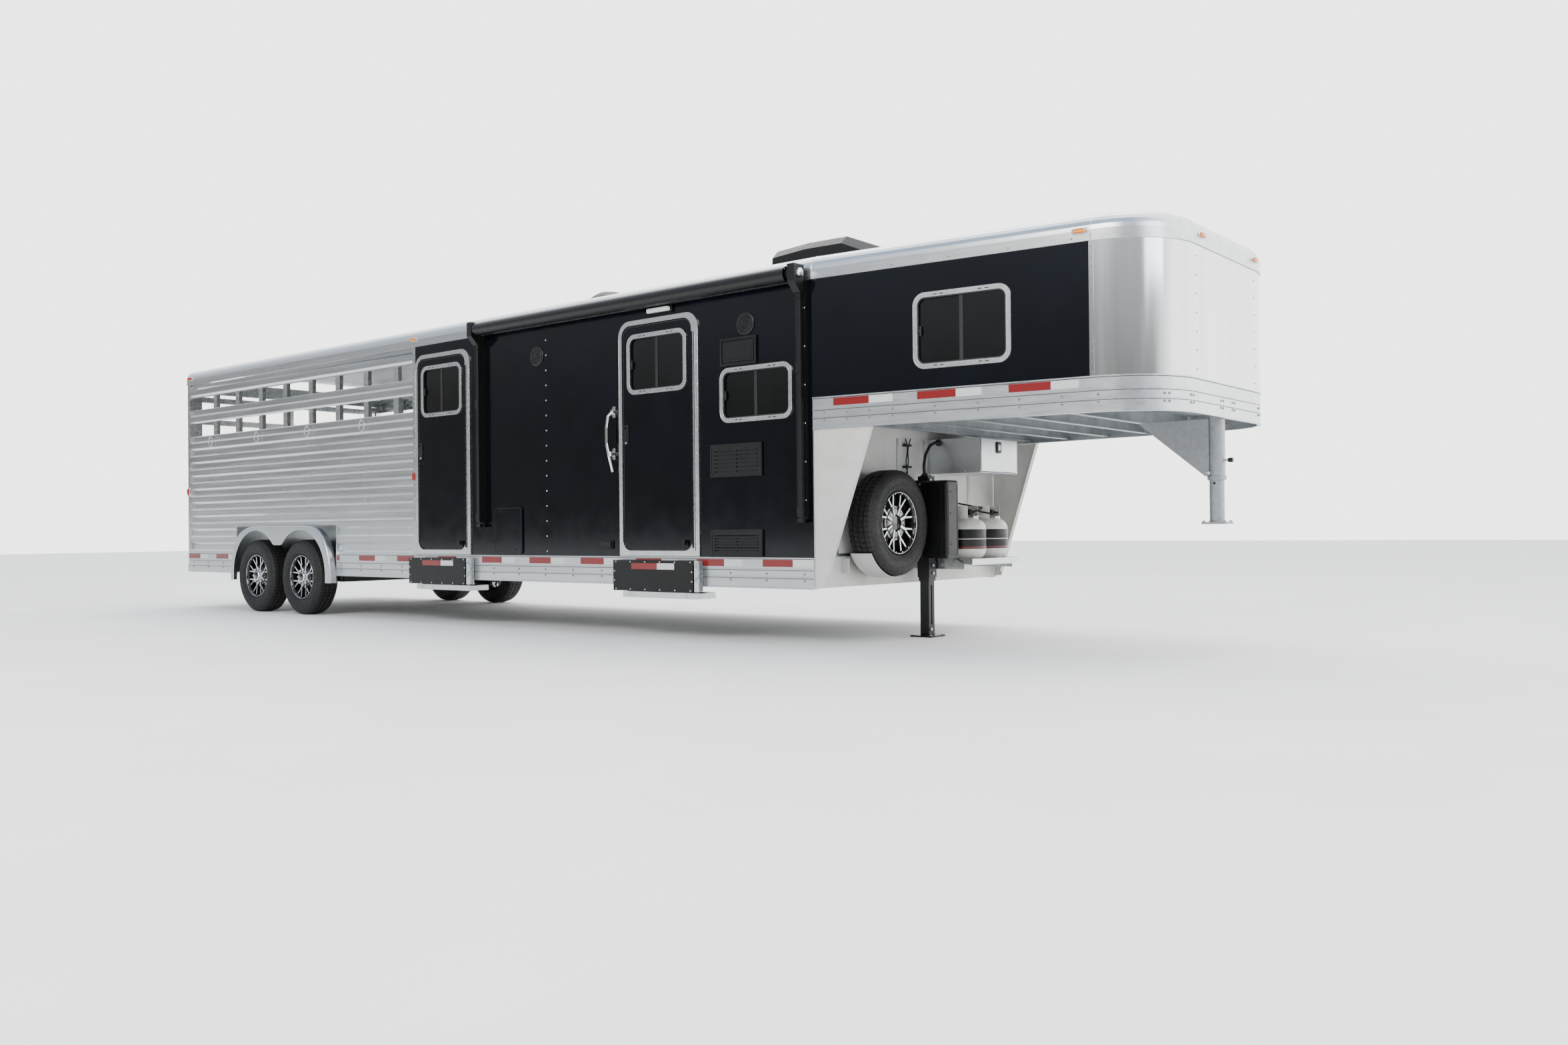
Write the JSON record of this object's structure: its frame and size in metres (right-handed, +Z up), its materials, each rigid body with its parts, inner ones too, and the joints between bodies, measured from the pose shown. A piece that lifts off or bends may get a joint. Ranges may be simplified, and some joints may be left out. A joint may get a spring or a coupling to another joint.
{
  "type": "livestock trailer",
  "caption": "Gooseneck livestock trailer with slotted plank animal compartment, living quarters, tandem axles, drop-leg jack, spare wheel, awning and ball coupler.",
  "frame": {"origin": "on the ground under the centre of the front jack's foot, on the trailer's centre plane", "axes": "+X towards the nose, +Y to the trailer's left, +Z up"},
  "size_m": [11.39, 2.6558, 3.012],
  "materials": {
    "dark_skin": "gloss",
    "door_skin": "gloss",
    "rail_aluminium": "satin",
    "plank_aluminium": "satin",
    "nose_aluminium": "polished",
    "trim_aluminium": "satin",
    "tinted_glass": "gloss",
    "roof_sheet": "satin",
    "deck_aluminium": "satin",
    "grey_sheet": "satin",
    "axle_steel": "satin",
    "tyre_rubber": "matte",
    "wheel_alloy": "gloss",
    "black_steel": "satin",
    "black_aluminium": "satin",
    "jack_steel": "satin",
    "coupler_paint": "satin",
    "black_plastic": "matte",
    "box_aluminium": "satin",
    "bottle_paint": "gloss",
    "loom_rubber": "matte",
    "bright_steel": "polished"
  },
  "bodies": {
    "trailer": {"awning_channels": "black_aluminium", "axles": "axle_steel", "bulkheads": "grey_sheet", "coupler_tube": "coupler_paint", "cross_members": "deck_aluminium", "door_frames": "trim_aluminium", "fenders": "trim_aluminium", "floor_decks": "deck_aluminium", "floor_rails": "rail_aluminium", "grab_handle": "bright_steel", "jack_housing": "black_steel", "living_wall_left": "dark_skin", "living_wall_right": "dark_skin", "loom": "loom_rubber", "nose_skin": "nose_aluminium", "propane_bottles": "bottle_paint", "propane_rack": "black_steel", "pump_box": "black_plastic", "rear_frame": "plank_aluminium", "roof_rail": "rail_aluminium", "roof_skin": "roof_sheet", "roof_units": "black_plastic", "spare_rim": "wheel_alloy", "spare_tyre": "tyre_rubber", "step_housings": "black_steel", "stock_wall_left": "plank_aluminium", "stock_wall_right": "plank_aluminium", "toolbox": "box_aluminium", "wall_vents": "black_plastic", "window_frames": "trim_aluminium", "window_panes": "tinted_glass"},
    "wheel_front_right": {"tyre_front_right": "tyre_rubber", "rim_front_right": "wheel_alloy"},
    "wheel_front_left": {"tyre_front_left": "tyre_rubber", "rim_front_left": "wheel_alloy"},
    "wheel_rear_right": {"tyre_rear_right": "tyre_rubber", "rim_rear_right": "wheel_alloy"},
    "wheel_rear_left": {"tyre_rear_left": "tyre_rubber", "rim_rear_left": "wheel_alloy"},
    "jack_leg": {"jack_leg": "jack_steel"},
    "coupler_post": {"coupler_post": "coupler_paint"},
    "coupler_pin": {"coupler_pin": "coupler_paint"},
    "main_door": {"main_door": "door_skin"},
    "small_door": {"small_door": "door_skin"},
    "main_door_slider": {"main_door_slider": "tinted_glass"},
    "small_door_slider": {"small_door_slider": "tinted_glass"},
    "main_door_latch": {"main_door_latch": "black_plastic"},
    "small_door_latch": {"small_door_latch": "black_plastic"},
    "side_window_slider": {"side_window_slider": "tinted_glass"},
    "nose_window_slider": {"nose_window_slider": "tinted_glass"},
    "main_step": {"main_step": "black_steel"},
    "small_step": {"small_step": "black_steel"},
    "awning_arms": {"awning_arms": "black_aluminium"},
    "rear_gate": {"rear_gate": "plank_aluminium"},
    "toolbox_door": {"toolbox_door": "box_aluminium"},
    "vent_lid": {"vent_lid": "black_plastic"},
    "range_flap": {"range_flap": "black_plastic"},
    "heater_door": {"heater_door": "door_skin"},
    "tie_rings_right": {"tie_rings_right": "bright_steel"},
    "tie_rings_left": {"tie_rings_left": "bright_steel"}
  },
  "joints": [
    {"name": "wheel_front_right_hinge", "type": "hinge", "parent": "trailer", "child": "wheel_front_right", "pos_m": [-6.59, -1.165, 0.375], "axis": [0, 1, 0], "continuous": true},
    {"name": "wheel_front_left_hinge", "type": "hinge", "parent": "trailer", "child": "wheel_front_left", "pos_m": [-6.59, 1.165, 0.375], "axis": [0, 1, 0], "continuous": true},
    {"name": "wheel_rear_right_hinge", "type": "hinge", "parent": "trailer", "child": "wheel_rear_right", "pos_m": [-7.48, -1.165, 0.375], "axis": [0, 1, 0], "continuous": true},
    {"name": "wheel_rear_left_hinge", "type": "hinge", "parent": "trailer", "child": "wheel_rear_left", "pos_m": [-7.48, 1.165, 0.375], "axis": [0, 1, 0], "continuous": true},
    {"name": "jack_leg_slide", "type": "slide", "parent": "trailer", "child": "jack_leg", "axis": [0, 0, 1], "range_m": [-0.15, 0.33]},
    {"name": "coupler_post_slide", "type": "slide", "parent": "trailer", "child": "coupler_post", "axis": [0, 0, 1], "range_m": [-0.1, 0.1]},
    {"name": "coupler_pin_slide", "type": "slide", "parent": "trailer", "child": "coupler_pin", "axis": [1, 0, 0], "range_m": [0, 0.025], "stiffness_N_per_m": 2000, "springref_m": -0.004},
    {"name": "main_door_hinge", "type": "hinge", "parent": "trailer", "child": "main_door", "pos_m": [-1.22, -1.236, 1.5], "axis": [0, 0, 1], "range_deg": [0, 150]},
    {"name": "small_door_hinge", "type": "hinge", "parent": "trailer", "child": "small_door", "pos_m": [-3.926, -1.236, 1.5], "axis": [0, 0, 1], "range_deg": [0, 95]},
    {"name": "main_door_slider_slide", "type": "slide", "parent": "main_door", "child": "main_door_slider", "axis": [1, 0, 0], "range_m": [0, 0.2]},
    {"name": "small_door_slider_slide", "type": "slide", "parent": "small_door", "child": "small_door_slider", "axis": [1, 0, 0], "range_m": [0, 0.2]},
    {"name": "main_door_latch_hinge", "type": "hinge", "parent": "main_door", "child": "main_door_latch", "pos_m": [-1.927, -1.2214, 1.586], "axis": [-1, 0, 0], "range_deg": [0, 25], "stiffness_Nm_per_rad": 0.5},
    {"name": "small_door_latch_hinge", "type": "hinge", "parent": "small_door", "child": "small_door_latch", "pos_m": [-4.597, -1.2214, 1.586], "axis": [-1, 0, 0], "range_deg": [0, 25], "stiffness_Nm_per_rad": 0.5},
    {"name": "side_window_slider_slide", "type": "slide", "parent": "trailer", "child": "side_window_slider", "axis": [1, 0, 0], "range_m": [0, 0.22]},
    {"name": "nose_window_slider_slide", "type": "slide", "parent": "trailer", "child": "nose_window_slider", "axis": [0.9943, 0.1063, 0], "range_m": [0, 0.22]},
    {"name": "main_step_hinge", "type": "hinge", "parent": "trailer", "child": "main_step", "pos_m": [-1.604, -1.236, 0.35], "axis": [1, 0, 0], "range_deg": [0, 90]},
    {"name": "small_step_hinge", "type": "hinge", "parent": "trailer", "child": "small_step", "pos_m": [-4.297, -1.236, 0.35], "axis": [1, 0, 0], "range_deg": [0, 90]},
    {"name": "awning_arms_hinge", "type": "hinge", "parent": "trailer", "child": "awning_arms", "pos_m": [-1.94, -1.266, 0.898], "axis": [1, 0, 0], "range_deg": [0, 50]},
    {"name": "rear_gate_hinge", "type": "hinge", "parent": "trailer", "child": "rear_gate", "pos_m": [-9.077, 1.15, 1.5], "axis": [0, 0, -1], "range_deg": [0, 180]},
    {"name": "toolbox_door_hinge", "type": "hinge", "parent": "trailer", "child": "toolbox_door", "pos_m": [0.348, 0.484, 1.222], "axis": [0, 1, 0], "range_deg": [0, 95]},
    {"name": "vent_lid_hinge", "type": "hinge", "parent": "trailer", "child": "vent_lid", "pos_m": [-3.205, 0, 2.732], "axis": [0, 1, 0], "range_deg": [0, 60]},
    {"name": "range_flap_hinge", "type": "hinge", "parent": "trailer", "child": "range_flap", "pos_m": [-0.769, -1.233, 2.144], "axis": [-1, 0, 0], "range_deg": [0, 60]},
    {"name": "heater_door_hinge", "type": "hinge", "parent": "trailer", "child": "heater_door", "pos_m": [-3.352, -1.231, 0.622], "axis": [1, 0, 0], "range_deg": [0, 95]},
    {"name": "tie_rings_right_hinge", "type": "hinge", "parent": "trailer", "child": "tie_rings_right", "pos_m": [-7, -1.235, 1.88], "axis": [-1, 0, 0], "range_deg": [0, 90]},
    {"name": "tie_rings_left_hinge", "type": "hinge", "parent": "trailer", "child": "tie_rings_left", "pos_m": [-7, 1.235, 1.88], "axis": [1, 0, 0], "range_deg": [0, 90]}
  ]
}
